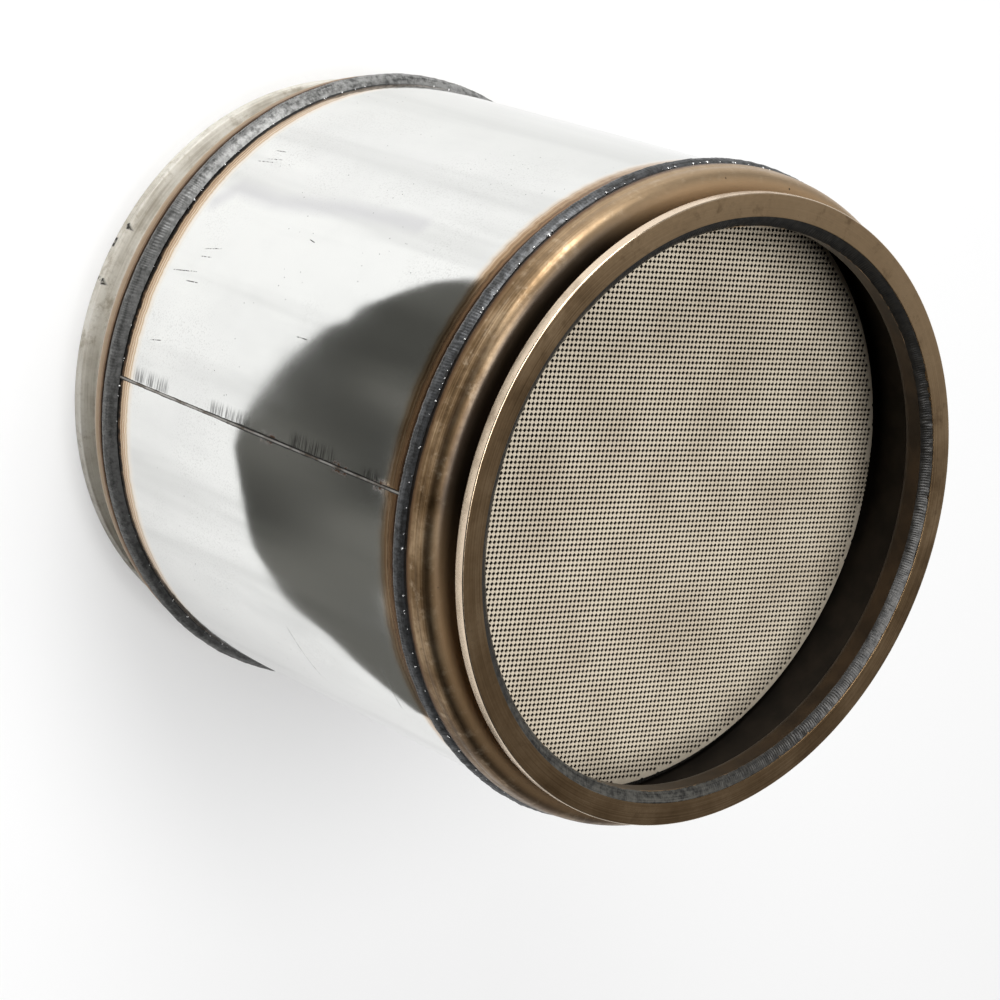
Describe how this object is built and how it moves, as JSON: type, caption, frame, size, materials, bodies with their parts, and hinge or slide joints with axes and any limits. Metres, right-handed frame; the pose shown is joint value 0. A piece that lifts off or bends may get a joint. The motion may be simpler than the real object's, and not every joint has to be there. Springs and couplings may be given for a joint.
{
  "type": "diesel particulate filter",
  "caption": "Round stainless exhaust can that holds a ceramic wall-flow honeycomb brick between V-band flanges, for trapping soot.",
  "frame": {"origin": "centre of the outlet sealing face", "axes": "+Z along the can's axis, from the outlet face to the inlet face"},
  "size_m": [0.3245, 0.3246, 0.321],
  "materials": {
    "shell_steel": "bright mill finish",
    "tinted_steel": "satin, bronze heat tint",
    "pale_steel": "satin, lightly stained",
    "weld_steel": "dark oxidised bead",
    "cordierite": "matte fired ceramic",
    "mat_fibre": "pressed ceramic fibre",
    "wire_mesh": "knitted wire"
  },
  "bodies": {
    "root": {"shell": "shell_steel", "seam_weld": "weld_steel", "substrate": "cordierite", "support_mat": "mat_fibre", "inlet_seal": "wire_mesh", "outlet_seal": "wire_mesh", "inlet_cap": "tinted_steel", "inlet_weld": "weld_steel", "inlet_flange": "tinted_steel", "inlet_flange_weld": "weld_steel", "outlet_cap": "pale_steel", "outlet_weld": "weld_steel", "outlet_flange": "pale_steel", "outlet_flange_weld": "weld_steel"}
  },
  "joints": []
}
